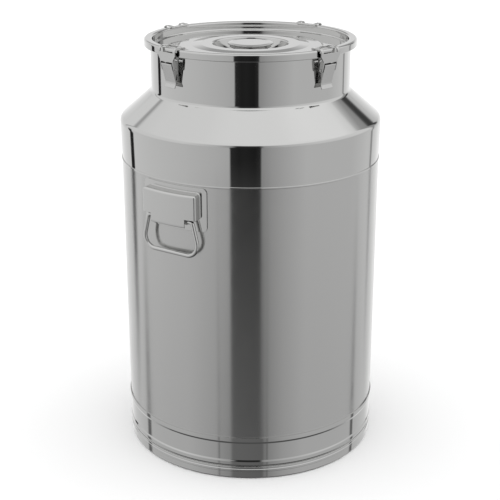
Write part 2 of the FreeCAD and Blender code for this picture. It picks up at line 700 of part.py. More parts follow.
def make_lever(name, angle):
    """The lever: a channel that hangs from the pivot, with a finger tongue at its end."""
    s = size
    body = new_body(f"{name}_lever")
    back_top_r = s.lever_top_r - s.lever_wall
    back_tip_r = s.lever_tip_r - s.lever_wall
    profile = side_outline(body, [
        Corner(s.lever_top_r, s.lever_top_z, 1.0),
        Corner(s.lever_tip_r, s.lever_tip_z, s.lever_bend),
        Corner(s.tongue_r, s.tongue_z),
        Corner(s.tongue_r - s.lever_wall * 0.9, s.tongue_z - s.lever_wall * 0.45),
        Corner(back_tip_r, s.lever_tip_z, s.lever_bend),
        Corner(back_tip_r + 1.2, s.lever_tip_z + 4.5, s.lever_side_bend),
        Corner(s.pivot_r - s.lever_side_in, s.pivot_z - s.hook_drop - 3.0, s.lever_side_bend),
        Corner(s.pivot_r - s.lever_side_in, s.lever_top_z - 2.4, s.lever_side_bend),
        Corner(s.pivot_r - 1.0, s.lever_top_z, 1.5),
    ])
    pad(body, profile, s.lever_out * 2)
    inside = side_outline(body, [
        Corner(back_top_r + 0.84, s.lever_top_z + 3.0),
        Corner(back_tip_r, s.lever_tip_z),
        Corner(back_tip_r - 6.0, s.lever_tip_z),
        Corner(back_tip_r - 6.0, s.lever_top_z + 3.0),
    ])
    cut(body, inside, s.lever_in * 2)
    holes = sketch_on(body, "XZ_Plane")
    circle(holes, s.pivot_r, s.pivot_z, s.pivot_pin + s.running)
    circle(holes, s.pivot_r - s.hook_in, s.pivot_z - s.hook_drop, s.rivet_r)
    cut(body, holes)
    stand_at(body, angle)


def make_hook(name, angle):
    """The hook: a plate with two fingers over the lid's rim, joined by a crossbar."""
    s = size
    body = new_body(f"{name}_hook")
    hinge_r = s.pivot_r - s.hook_in
    hinge_z = s.pivot_z - s.hook_drop
    strip = sketch_on(body, "XZ_Plane")
    sheet_outline(strip, [
        Corner(s.hook_face_r, s.hook_low_z),
        Corner(s.hook_face_r, s.hook_top_z, s.hook_bend),
        Corner(s.hook_end_r, s.hook_end_top_z, s.hook_end_bend),
        Corner(s.hook_end_r, s.hook_end_z),
    ], s.hook_wall)
    pad(body, strip, s.hook_half * 2)
    leg = side_outline(body, [
        Corner(s.hook_face_r - 0.3, s.hook_low_z + 7.0),
        Corner(s.hook_face_r - 1.3, s.hook_low_z + 7.0, 0.5),
        Corner(hinge_r - 1.6, hinge_z + 9.0, 5.0),
        Corner(hinge_r - s.cheek_side, hinge_z - s.cheek_low, s.cheek_round),
        Corner(hinge_r + s.cheek_side, hinge_z - s.cheek_low, s.cheek_round),
        Corner(s.hook_face_r, s.hook_low_z - 2.0, 3.0),
        Corner(s.hook_face_r, s.hook_low_z + 4.0),
    ])
    pad(body, leg, s.cheek_out * 2)
    inside = side_outline(body, [
        Corner(s.hook_face_r - s.hook_wall, s.hook_low_z + 10.0),
        Corner(hinge_r - 8.0, s.hook_low_z + 10.0),
        Corner(hinge_r - 8.0, hinge_z - 6.0),
        Corner(s.hook_face_r + 3.0, hinge_z - 6.0),
        Corner(s.hook_face_r + 3.0, s.hook_low_z),
        Corner(s.hook_face_r - s.hook_wall, s.hook_low_z),
    ])
    cut(body, inside, s.cheek_in * 2)
    window = side_outline(body, [
        Corner(s.hook_end_r + s.hook_wall + 0.3, s.plate_top_z),
        Corner(s.hook_face_r + 3.0, s.plate_top_z),
        Corner(s.hook_face_r + 3.0, s.hook_top_z + 3.0),
        Corner(s.hook_end_r + s.hook_wall + 0.3, s.hook_top_z + 3.0),
    ])
    cut(body, window, s.finger_in * 2)
    for side in (1, -1):
        taper = sketch_on(body, "YZ_Plane")
        corners = [
            Corner(s.cheek_out * side, s.hook_low_z - 1.0),
            Corner(s.hook_half * side * 1.2, s.hook_low_z - 1.0),
            Corner(s.hook_half * side * 1.2, s.hook_low_z + 9.0),
            Corner(s.hook_half * side, s.hook_low_z + 9.0),
            Corner(s.cheek_out * side, s.hook_low_z + 2.0, 2.0),
        ]
        outline(taper, corners)
        cut(body, taper)
    holes = sketch_on(body, "XZ_Plane")
    circle(holes, hinge_r, hinge_z, s.rivet_r + s.running)
    cut(body, holes)
    stand_at(body, angle)


def make_hook_rivets(name, angle):
    """The two rivets on which the hook turns, fixed in the lever's sides."""
    s = size
    hinge_r = s.pivot_r - s.hook_in
    hinge_z = s.pivot_z - s.hook_drop
    body = new_body(f"{name}_hook_rivets")
    shank = sketch_on(body, "XZ_Plane")
    circle(shank, hinge_r, hinge_z, s.rivet_head)
    pad(body, shank, s.rivet_out * 2)
    waist = sketch_on(body, "XZ_Plane")
    circle(waist, hinge_r, hinge_z, s.rivet_head + 1)
    circle(waist, hinge_r, hinge_z, s.rivet_r)
    cut(body, waist, (s.cheek_out + s.rivet_play) * 2)
    middle = sketch_on(body, "XZ_Plane")
    circle(middle, hinge_r, hinge_z, s.rivet_head + 1)
    cut(body, middle, s.lever_in * 2)
    stand_at(body, angle)


# ---------------------------------------------------------------- handles

def make_handle_plate(name, angle):
    """The backing plate, rolled to the drum, with rounded corners."""
    s = size
    outer_r = s.drum_r + s.plate_wall
    body = new_body(f"{name}_plate")
    section = side_outline(body, [
        Corner(s.drum_r, s.plate_low_z),
        Corner(outer_r, s.plate_low_z),
        Corner(outer_r, s.plate_high_z),
        Corner(s.drum_r, s.plate_high_z),
    ])
    revolve(body, section, s.plate_sweep)
    doc.recompute()
    edges = []
    for i, edge in enumerate(body.Shape.Edges, start=1):
        level = abs(edge.Vertexes[0].Z - edge.Vertexes[-1].Z) < 0.01
        if level and abs(edge.Length - s.plate_wall.value) < 0.01:
            edges.append(f"Edge{i}")
    plain = body.Tip
    fillet = body.newObject("PartDesign::Fillet", f"{body.Name}_corners")
    fillet.Base = (plain, edges)
    fillet.Radius = s.plate_corner.value
    fillet.setExpression("Radius", s.plate_corner.text)
    stand_at(body, angle)


def make_handle_cover(name, angle):
    """The pressed cover over the bail's pivots, open below, with a notch for each leg."""
    s = size
    back_r = s.drum_r + s.plate_wall
    body = new_body(f"{name}_cover")
    section = side_outline(body, [
        Corner(back_r, s.cover_low_z),
        Corner(s.cover_r, s.cover_low_z),
        Corner(s.cover_r, s.cover_top_z, s.cover_bend),
        Corner(back_r, s.cover_foot_z),
    ])
    revolve(body, section, s.cover_sweep)
    for side in (1, -1):
        bevel = sketch_on(body, "XY_Plane")
        outline(bevel, [
            Corner(back_r - 8.0, s.cover_foot_half * side),
            Corner(s.cover_r, s.cover_half * side),
            Corner(s.cover_r, s.cover_foot_half * side * 1.3),
            Corner(back_r - 8.0, s.cover_foot_half * side * 1.3),
        ])
        cut(body, bevel)
    doc.recompute()
    solid = body.Tip
    open_faces = []
    for i, face in enumerate(solid.Shape.Faces, start=1):
        middle = face.CenterOfMass
        radius = math.hypot(middle.x, middle.y)
        is_floor = face.BoundBox.ZMax < s.cover_low_z.value + 0.01
        is_back = isinstance(face.Surface, Part.Cylinder) and radius < back_r.value + 0.5
        if is_floor or is_back:
            open_faces.append(f"Face{i}")
    shell = body.newObject("PartDesign::Thickness", f"{body.Name}_shell")
    shell.Base = (solid, open_faces)
    shell.Value = s.cover_wall.value
    shell.setExpression("Value", s.cover_wall.text)
    shell.Reversed = True
    shell.Join = "Intersection"
    for side in (1, -1):
        notch = sketch_on(body, "YZ_Plane")
        outline(notch, [
            Corner(s.notch_half * side, s.cover_low_z - 5.0),
            Corner(s.cover_foot_half * side * 1.3, s.cover_low_z - 5.0),
            Corner(s.cover_foot_half * side * 1.3, s.notch_top_z),
            Corner(s.notch_half * side, s.notch_top_z, s.notch_bend),
        ])
        cut(body, notch)
    stand_at(body, angle)


def make_bail(name, angle):
    """The bail: a round wire loop whose ends turn in the saddles."""
    s = size
    body = new_body(f"{name}_bail")
    path = sketch_on(body, "YZ_Plane", lift=s.bail_pivot_r)
    corners = []
    for side in (-1, 1):
        half = [
            Corner(s.bail_stub * side, s.bail_pivot_z),
            Corner(s.bail_shoulder * side, s.bail_pivot_z, s.bail_shoulder_bend),
            Corner(s.bail_half * side, s.bail_low_z, s.bail_bend),
        ]
        corners += half if side < 0 else half[::-1]
    lines, arcs = draw_lines(path, [c.place for c in corners], [c.bend.value for c in corners], False)
    for i in range(1, len(corners) - 1):
        join_corner(path, lines[i - 1], lines[i], arcs.get(i))
        place_corner(path, corners[i], lines[i - 1], lines[i], arcs.get(i))
    fix_point(path, lines[0], 1, corners[0].across, corners[0].up)
    fix_point(path, lines[-1], 2, corners[-1].across, corners[-1].up)
    wire_end = sketch_on(body, "XZ_Plane", lift=s.bail_stub)
    circle(wire_end, s.bail_pivot_r, s.bail_pivot_z, s.bail_r)
    sweep = body.newObject("PartDesign::AdditivePipe", f"{body.Name}_sweep")
    sweep.Profile = wire_end
    sweep.Spine = (path, [])
    sweep.Mode = "Frenet"
    sweep.Transition = "Transformed"
    stand_at(body, angle)


def make_saddles(name, angle):
    """The two saddles, welded to the plate, in which the bail's ends turn."""
    s = size
    out_r = s.bail_r + s.saddle_wall
    inside_r = s.drum_r - 2
    body = new_body(f"{name}_saddles")
    block = side_outline(body, [
        Corner(inside_r, s.bail_pivot_z - out_r),
        Corner(s.bail_pivot_r + out_r, s.bail_pivot_z - out_r, out_r * 0.98),
        Corner(s.bail_pivot_r + out_r, s.bail_pivot_z + out_r, out_r * 0.98),
        Corner(inside_r, s.bail_pivot_z + out_r),
    ])
    pad(body, block, s.saddle_out * 2)
    gap = side_outline(body, [
        Corner(inside_r - 4, s.bail_pivot_z - out_r * 2),
        Corner(s.bail_pivot_r + out_r * 2, s.bail_pivot_z - out_r * 2),
        Corner(s.bail_pivot_r + out_r * 2, s.bail_pivot_z + out_r * 2),
        Corner(inside_r - 4, s.bail_pivot_z + out_r * 2),
    ])
    cut(body, gap, s.saddle_in * 2)
    bore = sketch_on(body, "XZ_Plane")
    circle(bore, s.bail_pivot_r, s.bail_pivot_z, s.bail_r + s.running)
    cut(body, bore)
    drum = sketch_on(body, "XY_Plane")
    circle(drum, 0, 0, s.drum_r + s.plate_wall)
    cut(body, drum)
    stand_at(body, angle)


# ---------------------------------------------------------------- assembly

def make_all():
    """Every piece of the can, in its place."""
    make_drum()
    make_shoulder()
    make_bottom()
    make_foot()
    make_lid()
    make_seal()
    make_knob()
    latches = (
        ("latch_front_left", size.latch_angle_a),
        ("latch_front_right", size.latch_angle_b),
        ("latch_back_right", size.latch_angle_c),
        ("latch_back_left", size.latch_angle_d),
    )
    for name, angle in latches:
        make_bracket(name, angle)
        make_pivot_pin(name, angle)
        make_lever(name, angle)
        make_hook(name, angle)
        make_hook_rivets(name, angle)
    handles = (
        ("handle_front", size.handle_angle_a),
        ("handle_back", size.handle_angle_b),
    )
    for name, angle in handles:
        make_handle_plate(name, angle)
        make_handle_cover(name, angle)
        make_bail(name, angle)
        make_saddles(name, angle)


def check_all():
    """Stop if any object failed or any node has no sound shape."""
    doc.recompute()
    for item in doc.Objects:
        if "Invalid" in item.State or "Error" in item.State:
            raise RuntimeError(f"{item.Label} did not build: {item.State}")
    for node in nodes:
        if node.Shape.isNull() or not node.Shape.isValid():
            raise RuntimeError(f"{node.Label} has no valid shape")


def write_all():
    """One STEP file for each node."""
    os.makedirs("parts", exist_ok=True)
    for node in nodes:
        node.Shape.exportStep(f"parts/{node.Label}.step")
        box = node.Shape.BoundBox
        print(
            f"{node.Label}: {len(node.Shape.Solids)} solid, {node.Shape.Volume:.0f} mm3,"
            f" z {box.ZMin:.1f} to {box.ZMax:.1f}"
        )


make_all()
check_all()
write_all()
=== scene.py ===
# Looks of a 60 litre stainless steel milk can: polished top, lid and bottom, satin drum,
# pressed latches and two folding wire handles, on a pale floor in a soft studio.
import logging
import math
from dataclasses import dataclass, field
from enum import Enum
from functools import partial
from typing import ClassVar

import bmesh
import bpy
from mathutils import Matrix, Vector


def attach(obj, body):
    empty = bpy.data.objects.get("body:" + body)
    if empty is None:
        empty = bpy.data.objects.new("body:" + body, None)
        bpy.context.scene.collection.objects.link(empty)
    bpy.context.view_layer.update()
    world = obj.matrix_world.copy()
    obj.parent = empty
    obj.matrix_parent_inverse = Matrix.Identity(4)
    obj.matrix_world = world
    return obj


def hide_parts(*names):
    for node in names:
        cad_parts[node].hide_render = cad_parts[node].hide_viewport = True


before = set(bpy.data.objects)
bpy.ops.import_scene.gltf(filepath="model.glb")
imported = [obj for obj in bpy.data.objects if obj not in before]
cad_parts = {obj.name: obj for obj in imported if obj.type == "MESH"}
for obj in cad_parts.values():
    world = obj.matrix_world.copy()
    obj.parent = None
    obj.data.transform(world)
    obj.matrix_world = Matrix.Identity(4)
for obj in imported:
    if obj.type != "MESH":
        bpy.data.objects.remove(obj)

MM = 0.001
# a point nearer the can's axis than this, in mm, closes the surface there
ON_AXIS = 0.01
# sockets of a Mix node that blends colours: its share, its two colours and the result
SHARE, COLOUR_A, COLOUR_B, BLENDED = 0, 6, 7, 2
LOG = logging.getLogger("milk_can")


# ---------------------------------------------------------------- colour and nodes

def linear(hex_colour: str) -> tuple[float, float, float, float]:
    """Turn an sRGB hex colour to linear light.

    Args:
        hex_colour: Six hex digits after a hash sign.

    Returns:
        Linear red, green and blue, and a full alpha.
    """
    parts = [int(hex_colour[i:i + 2], 16) / 255 for i in (1, 3, 5)]
    red, green, blue = (
        p / 12.92 if p <= 0.04045 else ((p + 0.055) / 1.055) ** 2.4 for p in parts
    )
    return red, green, blue, 1.0


def add_node(tree: bpy.types.NodeTree, kind: str, settings: dict | None = None,
             inputs: dict | None = None) -> bpy.types.Node:
    """Add a node with its settings and its inputs.

    Args:
        tree: The node tree that gets it.
        kind: The node's type name.
        settings: Properties of the node, by name.
        inputs: Input sockets by name or number, each a plain value or an output socket.

    Returns:
        The new node.
    """
    node = tree.nodes.new(kind)
    for name, value in (settings or {}).items():
        setattr(node, name, value)
    for key, value in (inputs or {}).items():
        if isinstance(value, bpy.types.NodeSocket):
            tree.links.new(value, node.inputs[key])
        else:
            node.inputs[key].default_value = value
    return node


def set_ramp(node: bpy.types.Node, stops: list[tuple[float, float]]) -> None:
    """Give a colour ramp grey stops.

    Args:
        node: The ramp node.
        stops: Places from 0 to 1, each with its brightness.
    """
    ramp = node.color_ramp
    ramp.interpolation = "LINEAR"
    while len(ramp.elements) > 1:
        ramp.elements.remove(ramp.elements[-1])
    for i, (place, value) in enumerate(stops):
        element = ramp.elements[0] if i == 0 else ramp.elements.new(place)
        element.position = place
        element.color = (value, value, value, 1.0)


def empty_material(name: str) -> bpy.types.Material:
    """Add a material that has no nodes yet.

    Args:
        name: The material's name.

    Returns:
        The new material.
    """
    material = bpy.data.materials.new(name)
    material.use_nodes = True
    material.node_tree.nodes.clear()
    return material


# ---------------------------------------------------------------- finishes

@dataclass(frozen=True)
class Steel:
    """Stainless steel, worked to a given finish.

    Rolled or pressed 304 sheet. It mirrors what is round it, a little blurred where it has been
    brushed, with faint waves left by the rolling and pressing.
    """

    name: str
    colour: str
    roughness: float
    # how far the roughness strays from its middle, from wiping marks and polishing
    smudge: float
    # size in mm of the waves left in the sheet, and how strongly they bend reflections
    wave_mm: float
    wave: float
    # spacing in mm of the polishing lines round the can, and how strongly they show. Real ones
    # are finer, and they are drawn this coarse so that they blur what the steel mirrors
    line_mm: float
    line: float
    # how far the blur of a reflection is stretched up and down, across those lines
    stretched: float = 0.0
    # radius in mm to which pressed and cut edges are rounded by tumbling
    edge_mm: float = 0.0

    # size of a wiping mark, length and depth of a polishing line, and height of a wave, in mm
    MARK_MM: ClassVar[float] = 35.0
    STROKE_MM: ClassVar[float] = 250.0
    GROOVE_MM: ClassVar[float] = 0.02
    SWELL_MM: ClassVar[float] = 1.0
    # turns that lay the stretched blur across lines that run round the can
    ACROSS: ClassVar[float] = 0.25

    def material(self) -> bpy.types.Material:
        """Build the material.

        Returns:
            The finished material.
        """
        material = empty_material(self.name)
        tree = material.node_tree
        place = add_node(tree, "ShaderNodeTexCoord")
        # cloudy marks a few centimetres across, as a cloth leaves them
        marks = add_node(tree, "ShaderNodeTexNoise", {}, {
            "Vector": place.outputs["Object"], "Scale": 1 / (self.MARK_MM * MM), "Detail": 4.0,
            "Roughness": 0.6,
        })
        rough = add_node(tree, "ShaderNodeMapRange", {}, {
            "Value": marks.outputs["Fac"], "From Min": 0.3, "From Max": 0.7,
            "To Min": self.roughness - self.smudge, "To Max": self.roughness + self.smudge,
        })
        # lines round the can: long across, fine up and down
        along, upwards = 1 / (self.STROKE_MM * MM), 1 / (self.line_mm * MM)
        squeeze = add_node(tree, "ShaderNodeMapping", {}, {
            "Vector": place.outputs["Object"], "Scale": (along, along, upwards),
        })
        lines = add_node(tree, "ShaderNodeTexNoise", {}, {
            "Vector": squeeze.outputs["Vector"], "Scale": 1.0, "Detail": 2.0, "Roughness": 0.5,
        })
        line_bump = add_node(tree, "ShaderNodeBump", {}, {
            "Height": lines.outputs["Fac"], "Strength": self.line,
            "Distance": self.GROOVE_MM * MM,
        })
        waves = add_node(tree, "ShaderNodeTexNoise", {}, {
            "Vector": place.outputs["Object"], "Scale": 1 / (self.wave_mm * MM), "Detail": 1.0,
        })
        wave_bump = add_node(tree, "ShaderNodeBump", {}, {
            "Height": waves.outputs["Fac"], "Strength": self.wave,
            "Distance": self.SWELL_MM * MM, "Normal": line_bump.outputs["Normal"],
        })
        if self.edge_mm > 0:
            soft = add_node(tree, "ShaderNodeBevel", {"samples": 6}, {"Radius": self.edge_mm * MM})
            tree.links.new(soft.outputs["Normal"], line_bump.inputs["Normal"])
        shader = add_node(tree, "ShaderNodeBsdfPrincipled", {}, {
            "Base Color": linear(self.colour), "Metallic": 1.0,
            "Roughness": rough.outputs["Result"], "Anisotropic": self.stretched,
            "Anisotropic Rotation": self.ACROSS, "Normal": wave_bump.outputs["Normal"],
        })
        if self.stretched > 0:
            tangent = add_node(tree, "ShaderNodeTangent", {"direction_type": "RADIAL", "axis": "Z"})
            tree.links.new(tangent.outputs["Tangent"], shader.inputs["Tangent"])
        add_node(tree, "ShaderNodeOutputMaterial", {}, {"Surface": shader.outputs["BSDF"]})
        return material


@dataclass(frozen=True)
class Silicone:
    """Food-grade silicone rubber, moulded: soft, pale and dull."""

    name: str
    colour: str
    roughness: float

    # size of the mould's grain and its depth, in mm
    GRAIN_MM: ClassVar[float] = 0.4
    DEPTH_MM: ClassVar[float] = 0.05

    def material(self) -> bpy.types.Material:
        """Build the material.

        Returns:
            The finished material.
        """
        material = empty_material(self.name)
        tree = material.node_tree
        place = add_node(tree, "ShaderNodeTexCoord")
        grain = add_node(tree, "ShaderNodeTexNoise", {}, {
            "Vector": place.outputs["Object"], "Scale": 1 / (self.GRAIN_MM * MM), "Detail": 2.0,
        })
        bump = add_node(tree, "ShaderNodeBump", {}, {
            "Height": grain.outputs["Fac"], "Strength": 0.2, "Distance": self.DEPTH_MM * MM,
        })
        shader = add_node(tree, "ShaderNodeBsdfPrincipled", {}, {
            "Base Color": linear(self.colour), "Metallic": 0.0, "Roughness": self.roughness,
            "IOR": 1.41, "Subsurface Weight": 0.1, "Normal": bump.outputs["Normal"],
        })
        add_node(tree, "ShaderNodeOutputMaterial", {}, {"Surface": shader.outputs["BSDF"]})
        return material


@dataclass(frozen=True)
class FloorPaint:
    """Matt white floor paint, rolled on: pale and even, with a fine stipple and hardly a sheen."""

    name: str
    colour: str
    roughness: float

    # spacing of the roller's stipple and its depth, in mm
    STIPPLE_MM: ClassVar[float] = 2.0
    DEPTH_MM: ClassVar[float] = 0.1

    def material(self) -> bpy.types.Material:
        """Build the material.

        Returns:
            The finished material.
        """
        material = empty_material(self.name)
        tree = material.node_tree
        place = add_node(tree, "ShaderNodeTexCoord")
        stipple = add_node(tree, "ShaderNodeTexNoise", {}, {
            "Vector": place.outputs["Object"], "Scale": 1 / (self.STIPPLE_MM * MM), "Detail": 2.0,
        })
        bump = add_node(tree, "ShaderNodeBump", {}, {
            "Height": stipple.outputs["Fac"], "Strength": 0.05, "Distance": self.DEPTH_MM * MM,
        })
        shader = add_node(tree, "ShaderNodeBsdfPrincipled", {}, {
            "Base Color": linear(self.colour), "Roughness": self.roughness,
            "Specular IOR Level": 0.1, "Normal": bump.outputs["Normal"],
        })
        add_node(tree, "ShaderNodeOutputMaterial", {}, {"Surface": shader.outputs["BSDF"]})
        return material


@dataclass(frozen=True)
class LitCloth:
    """White backdrop cloth, lit from behind: an even glow with nothing to see on it."""

    name: str
    colour: str

    def material(self) -> bpy.types.Material:
        """Build the material.

        Returns:
            The finished material.
        """
        material = empty_material(self.name)
        tree = material.node_tree
        glow = add_node(tree, "ShaderNodeEmission", {}, {
            "Color": linear(self.colour), "Strength": 1.0,
        })
        add_node(tree, "ShaderNodeOutputMaterial", {}, {"Surface": glow.outputs["Emission"]})
        return material


class Finish(Enum):
    """The finishes on the can and in the studio."""

    # mirror-polished drawn sheet: crisp reflections
    POLISHED = Steel(
        "mirror_polished_stainless", "#D3D3D2", roughness=0.045, smudge=0.02,
        wave_mm=60, wave=0.02, line_mm=0.6, line=0.1,
    )
    # belt-polished rolled sheet: reflections crisp from side to side and smeared up and down
    SATIN = Steel(
        "satin_rolled_stainless", "#CFCFCE", roughness=0.17, smudge=0.02,
        wave_mm=90, wave=0.02, line_mm=0.7, line=0.4, stretched=0.95,
    )
    # small pressings tumbled bright: soft edges that catch the light
    PRESSED = Steel(
        "tumbled_pressed_stainless", "#D2D2D1", roughness=0.08, smudge=0.03,
        wave_mm=12, wave=0.04, line_mm=0.6, line=0.2, edge_mm=0.6,
    )
    # drawn wire: bright, with fine lines
    WIRE = Steel(
        "bright_drawn_stainless", "#D4D4D3", roughness=0.09, smudge=0.02,
        wave_mm=20, wave=0.02, line_mm=0.5, line=0.2,
    )
    # moulded rubber of the lid's seal, dull and a little milky
    SEAL = Silicone("moulded_silicone", "#D9D6CE", roughness=0.55)
    # rolled floor paint, nearly white
    FLOOR = FloorPaint("matt_white_floor_paint", "#F4F4F4", roughness=0.9)
    # backdrop cloth that glows evenly
    BACKDROP = LitCloth("backdrop_glow", "#FFFFFF")

    @property
    def made(self) -> bpy.types.Material:
        """The material of this finish, built once."""
        return bpy.data.materials.get(self.value.name) or self.value.material()


# ---------------------------------------------------------------- turned sections

@dataclass(frozen=True)
class Corner:
    """A corner of a turned section in mm, with the radius of its bend."""

    radius: float
    height: float
    bend: float = 0.0

    @property
    def place(self) -> Vector:
        """The corner as a 2-D point."""
        return Vector((self.radius, self.height))


@dataclass
class Section:
    """A section that is turned about the can's axis.

    Each point is a radius, a height and whether the edge there is sharp.
    """

    points: list[tuple[Vector, bool]]

    # a bend gets a point for each of these degrees
    STEP: ClassVar[float] = 7.0
    # a straight run is held flat by a point this far in from each of its ends, in mm
    GUARD: ClassVar[float] = 0.35

    @classmethod
    def chain(cls, corners: list[Corner], closed: bool) -> "Section":
        """Round the bends of a chain of corners.

        Args:
            corners: The corners in order.
            closed: Whether the last corner joins the first.

        Returns:
            The section's points.
        """
        count = len(corners)
        points: list[tuple[Vector, bool]] = []
        for i, corner in enumerate(corners):
            if corner.bend <= 0 or (not closed and i in (0, count - 1)):
                points.append((corner.place, True))
                continue
            before, after = corners[i - 1].place, corners[(i + 1) % count].place
            points += [(p, False) for p in cls._arc(before, corner, after)]
        return cls(cls._guarded(points, closed))

    @classmethod
    def _arc(cls, before: Vector, corner: Corner, after: Vector) -> list[Vector]:
        """Points along one bend.

        Args:
            before: The corner before it.
            corner: The bent corner.
            after: The corner after it.

        Returns:
            Points from the bend's start to its end.
        """
        back = (before - corner.place).normalized()
        onward = (after - corner.place).normalized()
        half = back.angle(onward) / 2
        reach = corner.bend / math.tan(half)
        centre = corner.place + (back + onward).normalized() * (corner.bend / math.sin(half))
        first = corner.place + back * reach - centre
        turn = math.pi - 2 * half
        side = 1 if first.y * back.x - first.x * back.y > 0 else -1
        steps = max(2, math.ceil(math.degrees(turn) / cls.STEP))
        spun = []
        for k in range(steps + 1):
            angle = side * turn * k / steps
            cosine, sine = math.cos(angle), math.sin(angle)
            spun.append(centre + Vector((
                first.x * cosine - first.y * sine, first.x * sine + first.y * cosine,
            )))
        return spun

    @classmethod
    def _guarded(cls, points: list[tuple[Vector, bool]], closed: bool) -> list[tuple[Vector, bool]]:
        """Add the points that keep straight runs flat beside their bends.

        Args:
            points: The section so far.
            closed: Whether the last point joins the first.

        Returns:
            The section with its guard points.
        """
        held: list[tuple[Vector, bool]] = []
        count = len(points)
        for i, (point, sharp) in enumerate(points):
            held.append((point, sharp))
            if not closed and i == count - 1:
                break
            following = points[(i + 1) % count][0]
            run = following - point
            if run.length > 3 * cls.GUARD:
                step = run.normalized() * cls.GUARD
                held += [(point + step, False), (following - step, False)]
        return held

    def sheet(self, thickness: float) -> "Section":
        """Thicken an open chain to its left into the section of a bent sheet.

        Args:
            thickness: The sheet's thickness in mm.

        Returns:
            The closed section.
        """
        places = [p for p, _ in self.points]
        inner = []
        for i, (place, sharp) in enumerate(self.points):
            runs = []
            if i > 0:
                runs.append((place - places[i - 1]).normalized())
            if i < len(places) - 1:
                runs.append((places[i + 1] - place).normalized())
            normals = [Vector((-r.y, r.x)) for r in runs]
            middle = sum(normals, Vector((0, 0))).normalized()
            inner.append((place + middle * (thickness / middle.dot(normals[0])), sharp))
        return Section(self.points + inner[::-1])


def turned(name: str, section: Section, around: int = 256, closed: bool = True) -> bpy.types.Object:
    """Turn a section about the can's axis.

    Args:
        name: The new piece's name.
        section: The section, in mm.
        around: How many steps round the can.
        closed: Whether the section's last point joins its first.

    Returns:
        The new piece.
    """
    mesh = bmesh.new()
    rings = []
    for place, _ in section.points:
        if place.x < ON_AXIS:
            rings.append([mesh.verts.new((0, 0, place.y * MM))] * around)
            continue
        ring = []
        for k in range(around):
            angle = 2 * math.pi * k / around
            ring.append(mesh.verts.new((
                place.x * math.cos(angle) * MM, place.x * math.sin(angle) * MM, place.y * MM,
            )))
        rings.append(ring)
    count = len(rings)
    for i in range(count if closed else count - 1):
        here, there = rings[i], rings[(i + 1) % count]
        if here[0] is here[1] and there[0] is there[1]:
            continue
        for k in range(around):
            corners = [here[k], here[(k + 1) % around], there[(k + 1) % around], there[k]]
            # a corner on the axis would come twice, and it is named once
            mesh.faces.new(list(dict.fromkeys(corners))).smooth = True
    for (_, sharp), ring in zip(section.points, rings):
        if sharp and ring[0] is not ring[1]:
            for k in range(around):
                mesh.edges.get((ring[k], ring[(k + 1) % around])).smooth = False
    bmesh.ops.recalc_face_normals(mesh, faces=mesh.faces)
    return finished(name, mesh)


def finished(name: str, mesh: bmesh.types.BMesh) -> bpy.types.Object:
    """Make an object of a finished mesh.

    Args:
        name: The new piece's name.
        mesh: Its mesh, which is freed.

    Returns:
        The new piece.
    """
    data = bpy.data.meshes.new(name)
    mesh.to_mesh(data)
    mesh.free()
    piece = bpy.data.objects.new(name, data)
    bpy.context.scene.collection.objects.link(piece)
    return piece


def dress(piece: bpy.types.Object, finish: Finish, body: str, slot: str, *nodes: str) -> None:
    """Give a piece its finish and its place in the assembly.

    Args:
        piece: The piece.
        finish: Its finish.
        body: The body that it moves with.
        slot: The record's material slot. It is not used.
        nodes: The CAD nodes that it stands for.
    """
    piece.data.materials.clear()
    piece.data.materials.append(finish.made)
    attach(piece, body)
    if nodes:
        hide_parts(*nodes)
    LOG.info("built %s on %s", piece.name, body)


def repaint(node: str, finish: Finish) -> None:
    """Give a CAD node that stays as it is its finish.

    Args:
        node: The node's name.
        finish: Its finish.
    """
    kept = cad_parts[node]
    for place in range(len(kept.data.materials)):
        kept.data.materials[place] = finish.made
    LOG.info("finished %s", node)


# ---------------------------------------------------------------- the can

